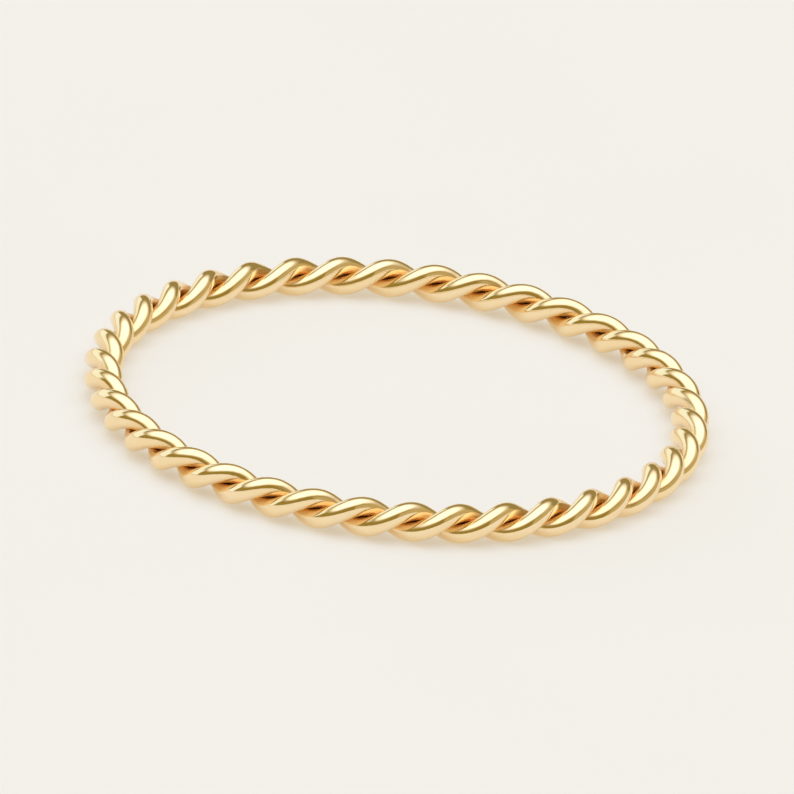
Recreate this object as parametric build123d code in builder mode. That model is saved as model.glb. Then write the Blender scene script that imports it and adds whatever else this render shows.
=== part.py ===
from build123d import *
from math import cos, pi, radians, sin, sqrt
import os

# A stacking ring made the way a bench jeweller makes one: two round gold wires are
# twisted together, the twisted length is bent into a hoop, and its cut ends are closed
# with solder. It lies flat on its side, with the finger hole along Z, the centre of the
# hoop over the origin and its lowest crests on Z = 0. All sizes are in millimetres.

# Driving sizes
FINGER_DIAMETER = 17.3  # clear hole inside the crests of the twist, ring size 7
WIRE_DIAMETER = 0.6  # each of the two round wires
WIRE_GAP = 0.02  # between the wires where they pass each other at the core
TURNS = 19  # full turns of the twist round the hoop
FIRST_LAY_ANGLE = 98.0  # where the first wire stands in its turn at +X, from outwards towards +Z
SECTIONS_PER_TURN = 12  # round sections that each turn of wire is lofted through
SOLDER_DIAMETER = 0.46  # fills the core, and stays below the backs of the wires
SOLDER_LENGTH = 1.3  # along the hoop
JOINT_ANGLE = 184.0  # where the hoop was closed, from +X towards +Y

# Worked out from those
LAY_RADIUS = (WIRE_DIAMETER + WIRE_GAP) / 2  # from the core to the centre of a wire
ROPE_RADIUS = LAY_RADIUS + WIRE_DIAMETER / 2  # from the core to a crest
RING_RADIUS = FINGER_DIAMETER / 2 + ROPE_RADIUS  # from the axis of the hoop to the core
TURN_ANGLE = 360 / TURNS  # the part of the hoop that one turn of wire takes
WIRES = 2


def lay_angle(ring_angle):
    """Where the wire stands round the core, in degrees, at an angle round the hoop."""
    return FIRST_LAY_ANGLE + TURNS * ring_angle


def wire_plane(ring_angle):
    """The plane square to the wire at an angle round the hoop, its X facing outwards."""
    around, lay = radians(ring_angle), radians(lay_angle(ring_angle))
    outward = Vector(cos(around), sin(around), 0)
    forward = Vector(-sin(around), cos(around), 0)
    up = Vector(0, 0, 1)
    from_core = outward * cos(lay) + up * sin(lay)
    past_core = up * cos(lay) - outward * sin(lay)
    reach = RING_RADIUS + LAY_RADIUS * cos(lay)
    centre = outward * RING_RADIUS + up * ROPE_RADIUS + from_core * LAY_RADIUS
    direction = forward * reach + past_core * (LAY_RADIUS * TURNS)
    facing_out = outward - direction * (outward.dot(direction) / direction.dot(direction))
    return Plane(origin=centre, x_dir=facing_out, z_dir=direction)


# One full turn of one wire, lofted through round sections square to it.
with BuildPart() as wire_turn:
    for section in range(SECTIONS_PER_TURN + 1):
        with BuildSketch(wire_plane(section * TURN_ANGLE / SECTIONS_PER_TURN)):
            Circle(WIRE_DIAMETER / 2)
    loft()

# The hoop: the turns of both wires end to end, and the solder that closes it. The second
# wire is the first one moved on by half a turn, so each step round is half a turn.
solder_angle = SOLDER_LENGTH / RING_RADIUS * 180 / pi
joint_start = Plane.XZ.rotated((0, 0, JOINT_ANGLE - solder_angle / 2))
with BuildPart() as twisted_band:
    with PolarLocations(0, WIRES * TURNS):
        add(wire_turn.part)
    with BuildSketch(joint_start):
        with Locations((RING_RADIUS, ROPE_RADIUS)):
            Circle(SOLDER_DIAMETER / 2)
    revolve(axis=Axis.Z, revolution_arc=solder_angle)

twisted_band.part.label = "twisted_band"

os.makedirs("parts", exist_ok=True)
export_step(twisted_band.part, "parts/twisted_band.step")

core_length = 2 * pi * RING_RADIUS
wire_length = sqrt(core_length**2 + (2 * pi * LAY_RADIUS * TURNS) ** 2)
print("outside diameter", 2 * (RING_RADIUS + ROPE_RADIUS), "height", 2 * ROPE_RADIUS)
print("length of each wire", wire_length, "pitch", core_length / TURNS)
print("volume", twisted_band.part.volume, "two wires", 2 * pi / 4 * WIRE_DIAMETER**2 * wire_length)
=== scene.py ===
from math import atan, cos, pi, radians, sin, tau

import bmesh
import bpy
from mathutils import Matrix, Vector


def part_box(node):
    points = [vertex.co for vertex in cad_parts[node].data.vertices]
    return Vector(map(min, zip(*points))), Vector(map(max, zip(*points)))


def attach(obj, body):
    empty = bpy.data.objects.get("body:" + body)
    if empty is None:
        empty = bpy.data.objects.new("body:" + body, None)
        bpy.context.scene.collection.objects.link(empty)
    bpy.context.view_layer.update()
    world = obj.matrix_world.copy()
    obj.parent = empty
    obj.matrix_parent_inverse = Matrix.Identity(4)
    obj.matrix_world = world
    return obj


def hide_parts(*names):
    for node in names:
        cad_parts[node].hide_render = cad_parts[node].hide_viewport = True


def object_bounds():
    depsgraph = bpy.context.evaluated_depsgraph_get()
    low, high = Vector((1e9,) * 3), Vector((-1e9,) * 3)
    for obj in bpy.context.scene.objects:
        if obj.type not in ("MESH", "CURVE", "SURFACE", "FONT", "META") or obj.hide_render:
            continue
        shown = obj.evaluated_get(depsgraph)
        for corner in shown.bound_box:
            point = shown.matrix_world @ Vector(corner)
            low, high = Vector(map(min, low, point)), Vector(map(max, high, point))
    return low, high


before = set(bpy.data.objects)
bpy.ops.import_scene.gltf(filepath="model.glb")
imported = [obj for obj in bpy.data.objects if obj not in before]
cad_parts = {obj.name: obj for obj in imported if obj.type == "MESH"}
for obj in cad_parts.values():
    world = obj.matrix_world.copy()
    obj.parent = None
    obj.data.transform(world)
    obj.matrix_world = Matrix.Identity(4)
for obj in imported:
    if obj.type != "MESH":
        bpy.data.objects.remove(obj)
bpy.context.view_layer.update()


# The two wires. Each is round gold wire, drawn smooth through a steel plate. They are
# twisted together until they touch all along their core, the rope is bent round a
# mandrel into the hoop, each wire's two ends meet in a butt seam, and all is polished.
band_low, band_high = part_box("twisted_band")
rope_radius = (band_high.z - band_low.z) / 2
rope_height = (band_high.z + band_low.z) / 2
hoop_radius = (band_high.x - band_low.x) / 2 - rope_radius
wire_radius = rope_radius / 2
twist_turns = 19
first_lay = radians(73)
lay_drift, drift_starts = radians(21), radians(247)
second_drift, second_drift_starts = radians(17), radians(116)
joint_angle = radians(184)
lay_lean = atan(wire_radius * twist_turns / hoop_radius)
wire_length = tau * hoop_radius / cos(lay_lean)
weld_reach = 0.0000002
bake_rows, bake_margin = 6, 0.02
polished_gold = (1.0, 0.80, 0.51, 1.0)
deeper_gold = (0.99, 0.78, 0.465, 1.0)
# Painted shade: the browner tone laid into the groove where the two wires shade each other.
painted_groove_shade = (0.90, 0.61, 0.30, 1.0)
groove_grime = (0.60, 0.35, 0.13, 1.0)
solder_gold = (0.97, 0.85, 0.61, 1.0)


def put(tree, kind, *inputs, **settings):
    """Puts a node in a tree. Each input is a socket to link, a value to set, or None."""
    node = tree.nodes.new(kind)
    for name, value in settings.items():
        setattr(node, name, value)
    for socket, given in zip([s for s in node.inputs if s.enabled], inputs):
        if isinstance(given, bpy.types.NodeSocket):
            tree.links.new(given, socket)
        elif given is not None:
            socket.default_value = given
    return node


def maths(tree, operation, *values):
    """The result of a Math node."""
    return put(tree, "ShaderNodeMath", *values, operation=operation).outputs[0]


def joined(tree, x, y, z):
    """The vector with these three parts."""
    return put(tree, "ShaderNodeCombineXYZ", x, y, z).outputs[0]


def rope_tree(name, inputs):
    """An empty Geometry Nodes tree with those named inputs. Gives the tree, and its input
    sockets by name."""
    tree = bpy.data.node_groups.new(name, "GeometryNodeTree")
    tree.interface.new_socket("Geometry", in_out="OUTPUT", socket_type="NodeSocketGeometry")
    for label, kind, value in inputs:
        socket = tree.interface.new_socket(label, in_out="INPUT", socket_type="NodeSocket" + kind)
        if value is not None:
            socket.default_value = value
    entry = tree.nodes.new("NodeGroupInput")
    return tree, {label: entry.outputs[label] for label, *_ in inputs}


rope_inputs = [
    ("Hoop Radius", "Float", hoop_radius),
    ("Rope Height", "Float", rope_height),
    ("Turns", "Float", twist_turns),
    ("First Lay", "Float", first_lay),
    ("Joint Angle", "Float", joint_angle),
    ("Wire Radius", "Float", wire_radius),
    ("Lay Lean", "Float", lay_lean),
    ("Lay Drift", "Float", lay_drift),
    ("Second Drift", "Float", second_drift),
    ("Uneven Twist", "Float", radians(14)),
    ("Waver", "Float", 0.00003),
    ("Seed", "Float", 7.0),
]


def bend_round_hoop(tree, given, share, across, beyond, forward):
    """Where a point of the straight rope lies once the rope is laid and bent round.
    share is how far round the hoop it is, across and beyond are its distances from the
    core in the turning frame of the lay, and forward is along the rope."""
    angle = maths(tree, "MULTIPLY_ADD", share, tau, given["Joint Angle"])
    places = joined(tree, maths(tree, "COSINE", angle), maths(tree, "SINE", angle), 0.0)

    def waver(scale, seed_step):
        seed = maths(tree, "ADD", given["Seed"], seed_step)
        noise = put(tree, "ShaderNodeTexNoise", noise_dimensions="4D")
        tree.links.new(places, noise.inputs["Vector"])
        tree.links.new(seed, noise.inputs["W"])
        noise.inputs["Scale"].default_value = scale
        noise.inputs["Detail"].default_value = 1.0
        return maths(tree, "SUBTRACT", noise.outputs[0], 0.5)

    # Twisting by hand is never quite even: the lay runs ahead and falls behind, once
    # round the hoop and twice round it.
    swing = maths(tree, "SINE", maths(tree, "SUBTRACT", angle, drift_starts))
    drift = maths(tree, "MULTIPLY", swing, given["Lay Drift"])
    second_swing = maths(tree, "SINE", maths(tree, "MULTIPLY_ADD", angle, 2.0, -second_drift_starts))
    drift = maths(tree, "MULTIPLY_ADD", second_swing, given["Second Drift"], drift)
    uneven_twist = waver(scale=2.4, seed_step=0.0)
    drift = maths(tree, "MULTIPLY_ADD", uneven_twist, given["Uneven Twist"], drift)
    lay = maths(tree, "MULTIPLY_ADD", given["Turns"], angle, given["First Lay"])
    lay = maths(tree, "ADD", lay, drift)
    laid = put(
        tree, "ShaderNodeVectorRotate", joined(tree, across, beyond, forward), None, lay,
        rotation_type="Z_AXIS",
    ).outputs[0]
    parts = put(tree, "ShaderNodeSeparateXYZ", laid).outputs
    out = maths(tree, "ADD", parts[0], given["Hoop Radius"])
    out = maths(tree, "MULTIPLY_ADD", waver(scale=1.3, seed_step=3.0), given["Waver"], out)
    up = maths(tree, "ADD", parts[1], given["Rope Height"])
    up = maths(tree, "MULTIPLY_ADD", waver(scale=1.7, seed_step=6.0), given["Waver"], up)
    bent = put(
        tree, "ShaderNodeVectorRotate", joined(tree, out, parts[2], up), None, angle,
        rotation_type="Z_AXIS",
    )
    return bent.outputs[0]


def flat_strip(tree, stations, sides):
    """A strip to be rolled into a tube. Gives its mesh, and how far along and how far
    round the tube each of its points will be, from 0 to 1."""
    grid = put(
        tree, "GeometryNodeMeshGrid", 1.0, 1.0,
        maths(tree, "ADD", stations, 1.0), maths(tree, "ADD", sides, 1.0),
    ).outputs[0]
    position = put(tree, "GeometryNodeInputPosition").outputs[0]
    flat = put(tree, "ShaderNodeSeparateXYZ", position).outputs
    kept = put(tree, "GeometryNodeCaptureAttribute")
    kept.capture_items.new("FLOAT", "share")
    kept.capture_items.new("FLOAT", "round")
    tree.links.new(grid, kept.inputs[0])
    tree.links.new(maths(tree, "ADD", flat[0], 0.5), kept.inputs[1])
    tree.links.new(maths(tree, "ADD", flat[1], 0.5), kept.inputs[2])
    return kept.outputs[0], kept.outputs[1], kept.outputs[2]


def closed_up(tree, shape, finish):
    """Joins the strip's edges where they meet, smooths it and gives it its finish."""
    joined_up = put(tree, "GeometryNodeMergeByDistance", shape, None, weld_reach).outputs[0]
    smooth = put(tree, "GeometryNodeSetShadeSmooth", joined_up).outputs[0]
    real = put(tree, "GeometryNodeRealizeInstances", smooth).outputs[0]
    done = put(tree, "GeometryNodeSetMaterial", real, None, finish).outputs[0]
    tree.links.new(done, put(tree, "NodeGroupOutput").inputs[0])


def wire_tree(finish):
    """One wire of the rope: a long tube, rolled up from stations along it and points round it."""
    tree, given = rope_tree("twisted_wire", rope_inputs + [
        ("Wire Length", "Float", wire_length),
        ("Uneven Drawing", "Float", 0.03),
        ("Drawing Waves", "Float", 60.0),
        ("Even Near Seam", "Float", 40.0),
        ("Half Turn", "Float", 0.0),
        ("Stations", "Int", 1216),
        ("Sides", "Int", 32),
        ("Rows", "Float", bake_rows),
        ("Finish", "Material", finish),
    ])
    strip, share, around = flat_strip(tree, given["Stations"], given["Sides"])

    # The wire's thickness wavers a little along it, but its two ends match at the seam.
    waves = maths(tree, "MULTIPLY", share, given["Drawing Waves"])
    thickness = put(tree, "ShaderNodeTexNoise")
    tree.links.new(joined(tree, waves, given["Half Turn"], given["Seed"]), thickness.inputs["Vector"])
    thickness.inputs["Scale"].default_value = 1.0
    uneven = maths(tree, "SUBTRACT", thickness.outputs[0], 0.5)
    uneven = maths(tree, "MULTIPLY", uneven, given["Uneven Drawing"])
    from_middle = maths(tree, "ABSOLUTE", maths(tree, "MULTIPLY_ADD", share, 2.0, -1.0))
    from_seam = maths(tree, "SUBTRACT", 1.0, from_middle)
    from_seam = maths(tree, "MULTIPLY", from_seam, given["Even Near Seam"])
    uneven = maths(tree, "MULTIPLY", uneven, maths(tree, "MINIMUM", from_seam, 1.0))
    radius = maths(tree, "MULTIPLY", given["Wire Radius"], maths(tree, "ADD", 1.0, uneven))

    # The wire leans over by the angle of the lay, so its round section leans too.
    turned = maths(tree, "MULTIPLY", around, tau)
    side = maths(tree, "MULTIPLY", radius, maths(tree, "SINE", turned))
    across = maths(
        tree, "MULTIPLY_ADD", radius, maths(tree, "COSINE", turned), given["Wire Radius"]
    )
    beyond = maths(tree, "MULTIPLY", side, maths(tree, "COSINE", given["Lay Lean"]))
    leaning_back = maths(tree, "MULTIPLY", maths(tree, "SINE", given["Lay Lean"]), -1.0)
    forward = maths(tree, "MULTIPLY", side, leaning_back)
    turned_over = {**given, "First Lay": maths(tree, "ADD", given["First Lay"], given["Half Turn"])}
    place = bend_round_hoop(tree, turned_over, share, across, beyond, forward)
    shape = put(tree, "GeometryNodeSetPosition", strip, None, place).outputs[0]

    # What the finish reads: the wire's own length and roundness, as it was before twisting.
    straight = joined(
        tree, maths(tree, "MULTIPLY", share, given["Wire Length"]),
        maths(tree, "MULTIPLY", given["Wire Radius"], maths(tree, "COSINE", turned)),
        maths(tree, "MULTIPLY", given["Wire Radius"], maths(tree, "SINE", turned)),
    )
    shape = put(
        tree, "GeometryNodeStoreNamedAttribute", shape, None, "straight_wire", straight,
        data_type="FLOAT_VECTOR", domain="CORNER",
    ).outputs[0]

    # The map cuts the straight wire into equal lengths and lays them side by side.
    middle = put(tree, "GeometryNodeFieldOnDomain", share, data_type="FLOAT", domain="FACE").outputs[0]
    row = maths(tree, "FLOOR", maths(tree, "MULTIPLY", middle, given["Rows"]))
    along_row = maths(tree, "SUBTRACT", maths(tree, "MULTIPLY", share, given["Rows"]), row)
    over_row = maths(
        tree, "MULTIPLY_ADD", around, 1 - 2 * bake_margin, maths(tree, "ADD", row, bake_margin)
    )
    over_row = maths(tree, "DIVIDE", over_row, given["Rows"])
    shape = put(
        tree, "GeometryNodeStoreNamedAttribute", shape, None, "OFBake",
        joined(tree, along_row, over_row, 0.0),
        data_type="FLOAT2", domain="CORNER",
    ).outputs[0]
    closed_up(tree, shape, given["Finish"])
    return tree


def made_by(tree, name, **sizes):
    """The plain mesh object that a tree makes with these inputs, at the origin."""
    scratch = bpy.data.objects.new(name + "_tree", bpy.data.meshes.new(name + "_tree"))
    bpy.context.scene.collection.objects.link(scratch)
    modifier = scratch.modifiers.new("shape", "NODES")
    modifier.node_group = tree
    for item in tree.interface.items_tree:
        if item.in_out == "INPUT" and item.name.replace(" ", "_").lower() in sizes:
            modifier[item.identifier] = sizes[item.name.replace(" ", "_").lower()]
    seen = bpy.context.evaluated_depsgraph_get()
    mesh = bpy.data.meshes.new_from_object(scratch.evaluated_get(seen))
    scratch.modifiers.remove(modifier)
    bpy.data.objects.remove(scratch)
    mesh.name = name
    piece = bpy.data.objects.new(name, mesh)
    bpy.context.scene.collection.objects.link(piece)
    return piece


def stretched_noise(tree, places, scale, detail, roughness=0.5):
    """A noise pattern, finer along each axis by the scale given for it."""
    spread = put(tree, "ShaderNodeMapping")
    tree.links.new(places, spread.inputs["Vector"])
    spread.inputs["Scale"].default_value = scale
    noise = put(tree, "ShaderNodeTexNoise")
    tree.links.new(spread.outputs[0], noise.inputs["Vector"])
    noise.inputs["Scale"].default_value = 1.0
    noise.inputs["Detail"].default_value = detail
    noise.inputs["Roughness"].default_value = roughness
    return noise.outputs[0]


def rise(tree, value, low, high, start=0.0, end=1.0):
    """start below low and end above high, and smooth between them."""
    return put(
        tree, "ShaderNodeMapRange", value, low, high, start, end, interpolation_type="SMOOTHSTEP"
    ).outputs[0]


def blend(tree, share, first, second):
    """The colour that is this share of the way from the first to the second."""
    mix = put(tree, "ShaderNodeMix", data_type="RGBA")
    for socket, given in zip([s for s in mix.inputs if s.enabled], (share, first, second)):
        if isinstance(given, bpy.types.NodeSocket):
            tree.links.new(given, socket)
        else:
            socket.default_value = given
    return [s for s in mix.outputs if s.enabled][0]


def ridged(tree, pattern, depth, under=None):
    """A bump that follows a pattern to this depth, laid over another bump or none."""
    bump = put(tree, "ShaderNodeBump")
    bump.inputs["Strength"].default_value = 1.0
    bump.inputs["Distance"].default_value = depth
    tree.links.new(pattern, bump.inputs["Height"])
    if under:
        tree.links.new(under, bump.inputs["Normal"])
    return bump.outputs[0]


patch_grain, patch_dullness = (900, 1600, 1600), 0.03
line_grain, line_dullness, line_depth = (500, 26000, 26000), 0.05, 0.0000004
peel_grain, peel_depth = (2600, 3400, 3400), 0.000005
grime_grain, grime_dullness, grime_cover = (5000, 9000, 9000), 0.15, 0.4
groove_dullness, groove_shade_cover = 0.14, 0.65
seam_core, seam_edge = 0.000005, 0.00003
seam_dullness, seam_cover = 0.10, 0.7
polish = 0.07


def wire_gold(name):
    """Polished pale gold on wire. Its pattern follows the straight wire: a painted shade that deepens
    the tone down in the groove, less polish there, faint drawing lines, a soft unevenness and the
    seam."""
    finish = bpy.data.materials.new(name)
    finish.use_nodes = True
    tree = finish.node_tree
    shader = tree.nodes["Principled BSDF"]
    straight = put(tree, "ShaderNodeAttribute", attribute_name="straight_wire").outputs["Vector"]
    along, from_axis = put(tree, "ShaderNodeSeparateXYZ", straight).outputs[:2]
    depth = maths(tree, "MULTIPLY_ADD", from_axis, -0.5 / wire_radius, 0.5)
    groove = rise(tree, depth, low=0.30, high=0.85)
    to_end = maths(tree, "MINIMUM", along, maths(tree, "SUBTRACT", wire_length, along))
    seam = rise(tree, to_end, seam_core, seam_edge, start=1.0, end=0.0)

    patches = stretched_noise(tree, straight, patch_grain, detail=3.0)
    lines = stretched_noise(tree, straight, line_grain, detail=4.0, roughness=0.6)
    peel = stretched_noise(tree, straight, peel_grain, detail=2.0)
    grime = stretched_noise(tree, straight, grime_grain, detail=4.0, roughness=0.65)

    tone = blend(tree, rise(tree, patches, low=0.35, high=0.65), polished_gold, deeper_gold)
    # The groove is painted darker and browner here: this is painted shade, not the gold's own colour.
    tone = blend(tree, maths(tree, "MULTIPLY", groove, groove_shade_cover), tone, painted_groove_shade)
    specks, deep_down = rise(tree, grime, low=0.50, high=0.62), rise(tree, depth, low=0.55, high=0.95)
    left_in = maths(tree, "MULTIPLY", specks, deep_down)
    tone = blend(tree, maths(tree, "MULTIPLY", left_in, grime_cover), tone, groove_grime)
    tone = blend(tree, maths(tree, "MULTIPLY", seam, seam_cover), tone, solder_gold)
    tree.links.new(tone, shader.inputs["Base Color"])

    dull = maths(tree, "MULTIPLY_ADD", groove, groove_dullness, polish)
    dull = maths(tree, "MULTIPLY_ADD", rise(tree, patches, low=0.4, high=0.7), patch_dullness, dull)
    dull = maths(tree, "MULTIPLY_ADD", rise(tree, lines, low=0.45, high=0.75), line_dullness, dull)
    dull = maths(tree, "MULTIPLY_ADD", left_in, grime_dullness, dull)
    dull = maths(tree, "MULTIPLY_ADD", seam, seam_dullness, dull)
    tree.links.new(dull, shader.inputs["Roughness"])

    drawn = ridged(tree, lines, line_depth)
    tree.links.new(ridged(tree, peel, peel_depth, drawn), shader.inputs["Normal"])
    shader.inputs["Metallic"].default_value = 1.0
    return finish


twisted_wire = wire_tree(wire_gold("wire_gold"))
for wire_name, half_turn in (("wire_a", 0.0), ("wire_b", pi)):
    wire = made_by(twisted_wire, wire_name, half_turn=half_turn)
    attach(wire, "root")
    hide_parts("twisted_band")


# The solder joint. Hard gold solder is run into the two grooves of the rope where the
# wires' ends meet. It draws back as it cools, so it lies hollow between the wires, and
# it thins out along the groove at both ends. It is a little paler than the wire.
solder_length = 0.0013
solder_reach = 0.00014
solder_hollow = 0.62
solder_shade = (0.93, 0.78, 0.51, 1.0)
ripple_grain, ripple_dullness, ripple_depth = (9000, 9000, 9000), 0.12, 0.000004
solder_polish = 0.18


def solder_tree(finish):
    """The solder in both grooves: a short tube, pinched to a point at its two ends, whose
    two hollow faces lie in the grooves and whose two sides are sunk in the wires."""
    tree, given = rope_tree("groove_solder", rope_inputs + [
        ("Length", "Float", solder_length),
        ("Reach", "Float", solder_reach),
        ("Hollow", "Float", solder_hollow),
        ("Sunk Sides", "Float", 1.15),
        ("Squareness", "Float", 3.0),
        ("Stations", "Int", 64),
        ("Sides", "Int", 48),
        ("Finish", "Material", finish),
    ])
    strip, share, around = flat_strip(tree, given["Stations"], given["Sides"])
    from_middle = maths(tree, "SUBTRACT", share, 0.5)
    hoop_share = maths(
        tree, "MULTIPLY", from_middle,
        maths(tree, "DIVIDE", given["Length"], maths(tree, "MULTIPLY", given["Hoop Radius"], tau)),
    )
    towards_end = maths(tree, "MULTIPLY", from_middle, 2.0)
    fullness = maths(tree, "SUBTRACT", 1.0, maths(tree, "MULTIPLY", towards_end, towards_end))
    reach = maths(tree, "MULTIPLY", given["Reach"], maths(tree, "MAXIMUM", fullness, 0.0))

    # Where the solder's edge touches the wire: the wire's own height at that distance.
    left_over = maths(tree, "SUBTRACT", given["Wire Radius"], reach)
    squared = maths(
        tree, "SUBTRACT", maths(tree, "MULTIPLY", given["Wire Radius"], given["Wire Radius"]),
        maths(tree, "MULTIPLY", left_over, left_over),
    )
    brim = maths(tree, "SQRT", maths(tree, "MAXIMUM", squared, 0.0))
    brim = maths(tree, "DIVIDE", brim, maths(tree, "COSINE", given["Lay Lean"]))

    turned = maths(tree, "MULTIPLY", around, tau)
    sideways = maths(tree, "MULTIPLY", maths(tree, "COSINE", turned), given["Sunk Sides"])
    hollow = maths(
        tree, "MULTIPLY_ADD", maths(tree, "MULTIPLY", sideways, sideways),
        maths(tree, "SUBTRACT", 1.0, given["Hollow"]), given["Hollow"],
    )
    face = maths(tree, "MULTIPLY", maths(tree, "SINE", turned), given["Squareness"])
    face = maths(tree, "TANH", face)
    across = maths(tree, "MULTIPLY", reach, sideways)
    beyond = maths(tree, "MULTIPLY", maths(tree, "MULTIPLY", brim, hollow), face)
    place = bend_round_hoop(tree, given, hoop_share, across, beyond, 0.0)
    shape = put(tree, "GeometryNodeSetPosition", strip, None, place).outputs[0]
    closed_up(tree, shape, given["Finish"])
    return tree


def run_solder(name):
    """Gold solder as it sets: paler than the wire, less polished, and faintly rippled."""
    finish = bpy.data.materials.new(name)
    finish.use_nodes = True
    tree = finish.node_tree
    shader = tree.nodes["Principled BSDF"]
    places = put(tree, "ShaderNodeTexCoord").outputs["Object"]
    ripple = stretched_noise(tree, places, ripple_grain, detail=3.0)
    tone = blend(tree, rise(tree, ripple, low=0.35, high=0.65), solder_gold, solder_shade)
    tree.links.new(tone, shader.inputs["Base Color"])
    dull = rise(tree, ripple, low=0.4, high=0.7)
    dull = maths(tree, "MULTIPLY_ADD", dull, ripple_dullness, solder_polish)
    tree.links.new(dull, shader.inputs["Roughness"])
    tree.links.new(ridged(tree, ripple, ripple_depth), shader.inputs["Normal"])
    shader.inputs["Metallic"].default_value = 1.0
    return finish


solder = made_by(solder_tree(run_solder("run_solder")), "solder_joint")
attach(solder, "root")
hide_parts("twisted_band")


# The table top is a smooth off-white board with a faint tooth, and lets a little warm
# light through from below, so shadows on it stay light. It is round, and its edge sweeps
# up in a low curve, so that a camera near its level still has board behind the ring.
table_flat = 0.7
table_sweep = 0.12
sweep_steps = 12
table_sides = 96
board_white = (0.478, 0.546, 0.626, 1.0)
board_shade = (0.470, 0.537, 0.615, 1.0)
under_glow = (1.0, 0.84, 0.66, 1.0)
under_brightness = 0.46
cloud_grain = (55, 55, 55)
tooth_grain, tooth_dullness, tooth_depth = (2200, 2200, 2200), 0.10, 0.000006
board_dullness = 0.84
board_sheen = 0.1


def smooth_board(name):
    """Off-white board, lit from below: faint clouds of tone, and a fine tooth that shows in
    grazing light."""
    finish = bpy.data.materials.new(name)
    finish.use_nodes = True
    tree = finish.node_tree
    shader = tree.nodes["Principled BSDF"]
    places = put(tree, "ShaderNodeTexCoord").outputs["Object"]
    clouds = stretched_noise(tree, places, cloud_grain, detail=3.0)
    tooth = stretched_noise(tree, places, tooth_grain, detail=3.0, roughness=0.6)
    tone = blend(tree, rise(tree, clouds, low=0.3, high=0.7), board_white, board_shade)
    tree.links.new(tone, shader.inputs["Base Color"])
    dull = maths(tree, "MULTIPLY_ADD", tooth, tooth_dullness, board_dullness)
    tree.links.new(dull, shader.inputs["Roughness"])
    tree.links.new(ridged(tree, tooth, tooth_depth), shader.inputs["Normal"])
    shader.inputs["Specular IOR Level"].default_value = board_sheen
    shader.inputs["Emission Color"].default_value = under_glow
    shader.inputs["Emission Strength"].default_value = under_brightness
    return finish


table_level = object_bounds()[0].z
rings = [(0.0, 0.0), (table_flat / 14, 0.0), (table_flat / 2, 0.0), (table_flat, 0.0)]
for step in range(1, sweep_steps + 1):
    bend = radians(90) * step / sweep_steps
    rings.append((table_flat + table_sweep * sin(bend), table_sweep * (1 - cos(bend))))
shaped = bmesh.new()
rows = []
for reach, rise_up in rings:
    row = []
    for step in range(table_sides if reach else 1):
        turn = tau * step / table_sides
        row.append(shaped.verts.new((reach * cos(turn), reach * sin(turn), table_level + rise_up)))
    rows.append(row)
for inner, outer in zip(rows, rows[1:]):
    for step in range(table_sides):
        after = (step + 1) % table_sides
        if len(inner) == 1:
            shaped.faces.new((inner[0], outer[step], outer[after]))
        else:
            shaped.faces.new((inner[step], outer[step], outer[after], inner[after]))
for face in shaped.faces:
    face.smooth = True
sheet = bpy.data.meshes.new("table_top")
shaped.to_mesh(sheet)
shaped.free()
sheet.materials.append(smooth_board("smooth_board"))
table = bpy.data.objects.new("table_top", sheet)
bpy.context.scene.collection.objects.link(table)


# The light. A soft box hangs over the ring, below a wide white diffuser that droops at two
# ends. A tall window stands on the left, and the room's other walls are plain, warm and
# dimmer. The ring is polished, so what it shows is this room.
overhead_width, overhead_depth = 1.1, 0.8
overhead_place = (-0.15, -0.05, 0.6)
overhead_brightness = 0.12
diffuser_edge, diffuser_full = radians(33), radians(62)
end_droop, droop_bearing = radians(7), radians(50)
diffuser_white = (1.34, 1.35, 1.38, 1.0)
window_white = (0.98, 1.08, 1.08, 1.0)
side_wall = (0.53, 0.44, 0.22, 1.0)
back_wall = (0.32, 0.26, 0.10, 1.0)
dim_room = (0.31, 0.235, 0.05, 1.0)

lamp = bpy.data.lights.new("overhead_box", "AREA")
lamp.shape = "RECTANGLE"
lamp.size, lamp.size_y = overhead_width, overhead_depth
lamp.energy = overhead_brightness * 4 * overhead_width * overhead_depth
overhead_box = bpy.data.objects.new("overhead_box", lamp)
overhead_box.location = overhead_place
bpy.context.scene.collection.objects.link(overhead_box)

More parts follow.
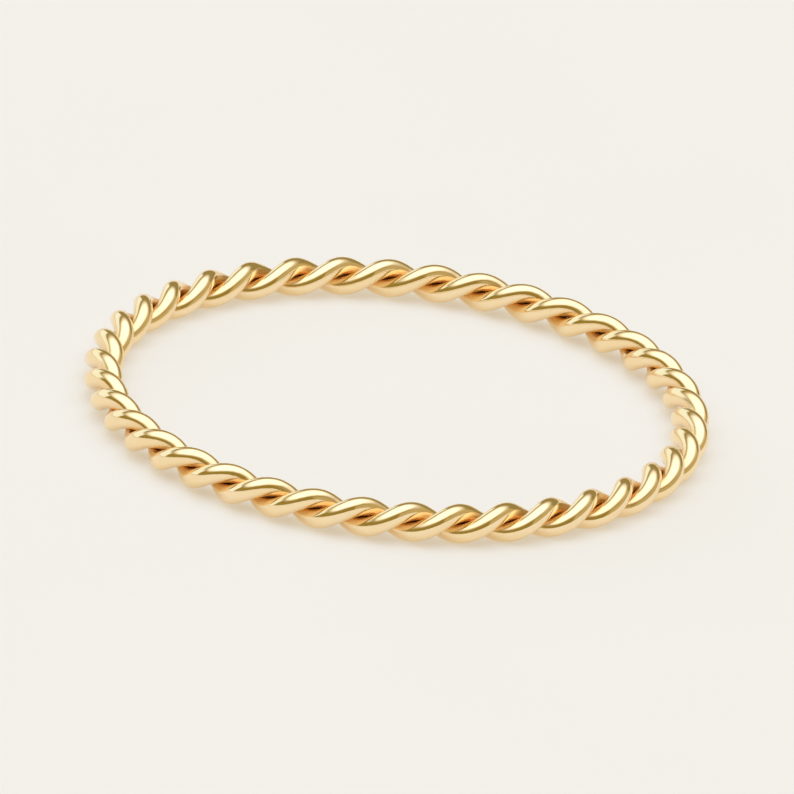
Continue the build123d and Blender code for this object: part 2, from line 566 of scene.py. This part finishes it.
room = bpy.data.worlds.new("studio_room")
room.use_nodes = True
tree = room.node_tree
tree.nodes.clear()
every_way = put(tree, "ShaderNodeTexCoord").outputs["Generated"]
towards = put(tree, "ShaderNodeSeparateXYZ", every_way).outputs
bearing = maths(tree, "ARCTAN2", towards[0], towards[1])
height = maths(tree, "ARCSINE", towards[2])


def wall(tree, behind, colour, left, right, top, soft=5):
    """Adds a wall or window in front of what is behind: its two sides as bearings from
    straight behind the ring, and its top as a height, all in degrees."""
    across = maths(
        tree, "MULTIPLY", rise(tree, bearing, radians(left - soft), radians(left + soft)),
        rise(tree, bearing, radians(right - soft), radians(right + soft), start=1.0, end=0.0),
    )
    below = rise(tree, height, radians(top - soft), radians(top + soft), start=1.0, end=0.0)
    return blend(tree, maths(tree, "MULTIPLY", across, below), behind, colour)


seen = wall(tree, dim_room, window_white, left=-90, right=-16, top=36)
seen = wall(tree, seen, back_wall, left=-15, right=56, top=46)
seen = wall(tree, seen, side_wall, left=57, right=143, top=38)

# The diffuser's two drooping ends are behind the ring on the right and in front on the left.
to_ends = maths(tree, "COSINE", maths(tree, "MULTIPLY_ADD", bearing, 2.0, -2 * droop_bearing))
over_edge = maths(tree, "MULTIPLY_ADD", to_ends, end_droop, height)
seen = blend(tree, rise(tree, over_edge, diffuser_edge, diffuser_full), seen, diffuser_white)
lit = put(tree, "ShaderNodeBackground", seen, 1.0).outputs[0]
put(tree, "ShaderNodeOutputWorld", lit)
bpy.context.scene.world = room


# The camera has a long lens. It looks at the middle of the ring from a little above the
# table, and is rolled a few degrees, so that the ring slopes down to the right.
lens_length = 580
camera_tilt, camera_roll = radians(24), radians(6.5)
camera_distance = 0.40

lens = bpy.data.cameras.new("lens")
lens.lens = lens_length
lens.clip_start, lens.clip_end = 0.01, 10
camera = bpy.data.objects.new("camera", lens)
aim = Vector((0, 0, rope_height))
back = Matrix.Rotation(-camera_tilt, 3, "X") @ Vector((0, -1, 0))
facing = back.to_track_quat("Z", "Y").to_matrix() @ Matrix.Rotation(camera_roll, 3, "Z")
camera.matrix_world = Matrix.Translation(aim + back * camera_distance) @ facing.to_4x4()
bpy.context.scene.collection.objects.link(camera)
bpy.context.scene.camera = camera

bpy.context.scene.view_settings.view_transform = "Standard"
